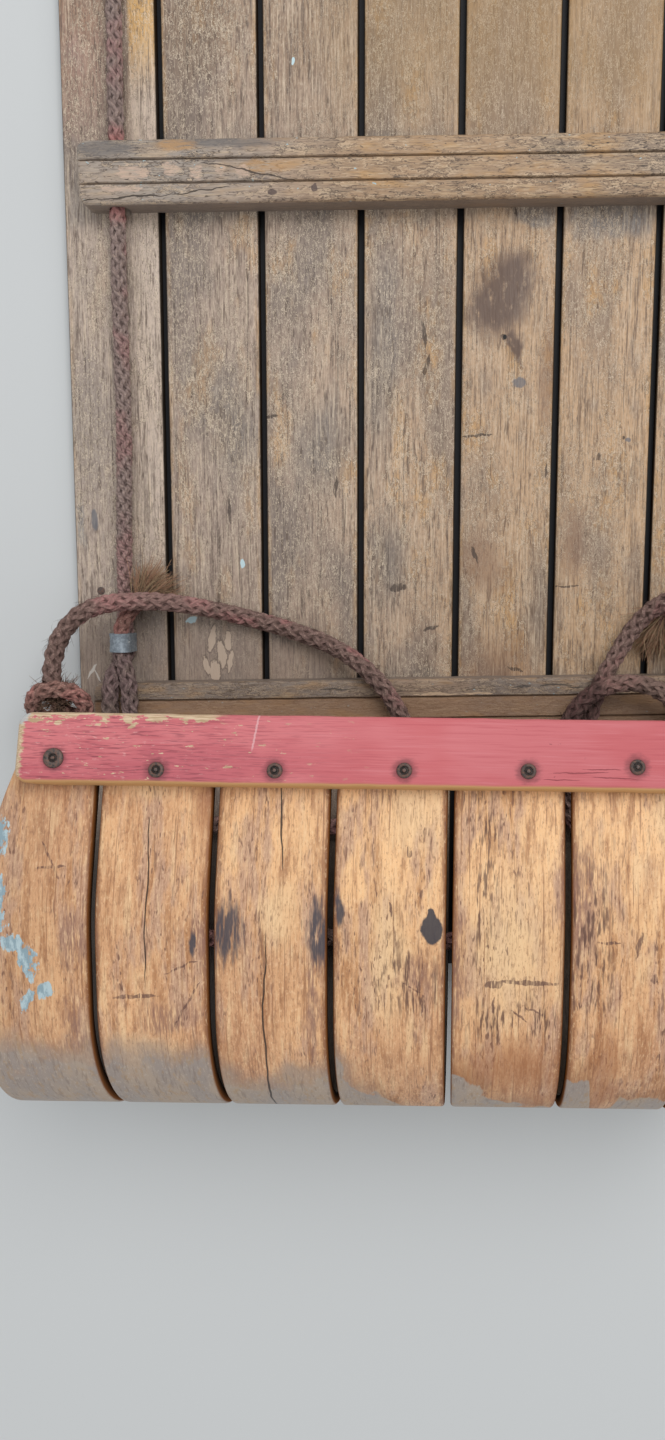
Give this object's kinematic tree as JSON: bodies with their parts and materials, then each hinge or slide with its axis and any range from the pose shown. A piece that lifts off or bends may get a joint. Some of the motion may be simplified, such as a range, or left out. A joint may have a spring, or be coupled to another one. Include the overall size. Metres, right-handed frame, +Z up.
{
  "type": "toboggan",
  "caption": "Slatted wooden toboggan with a steam-bent curl, cross battens, a painted head bar, side ropes and a pull rope.",
  "frame": {"origin": "on the ground under the middle of the toboggan, pull rope aside", "axes": "+Z up, +Y to the rear along the slats, the curl at -Y, +X to the right seen from above with the curl at the bottom"},
  "size_m": [0.491, 1.63, 0.174],
  "materials": {
    "slat_wood": "worn varnish",
    "batten_wood": "worn varnish",
    "red_paint": "faded paint",
    "rivet_steel": "rusty",
    "ferrule_steel": "galvanised",
    "side_rope": "fuzzy",
    "pull_rope": "fuzzy"
  },
  "bodies": {
    "root": {"batten_1": "batten_wood", "batten_2": "batten_wood", "batten_3": "batten_wood", "batten_4": "batten_wood", "batten_5": "batten_wood", "eye_left": "side_rope", "eye_right": "side_rope", "ferrule_left": "ferrule_steel", "ferrule_right": "ferrule_steel", "head_bar": "red_paint", "inner_bar": "batten_wood", "pull_knot_left": "pull_rope", "pull_knot_right": "pull_rope", "pull_rope": "pull_rope", "rear_knot_left": "side_rope", "rear_knot_right": "side_rope", "rivet_1": "rivet_steel", "rivet_2": "rivet_steel", "rivet_3": "rivet_steel", "rivet_4": "rivet_steel", "rivet_5": "rivet_steel", "rivet_6": "rivet_steel", "rivet_7": "rivet_steel", "side_rope_left": "side_rope", "side_rope_right": "side_rope", "slat_1": "slat_wood", "slat_2": "slat_wood", "slat_3": "slat_wood", "slat_4": "slat_wood", "slat_5": "slat_wood", "slat_6": "slat_wood", "slat_7": "slat_wood", "tail_left": "side_rope", "tail_right": "side_rope"}
  },
  "joints": []
}
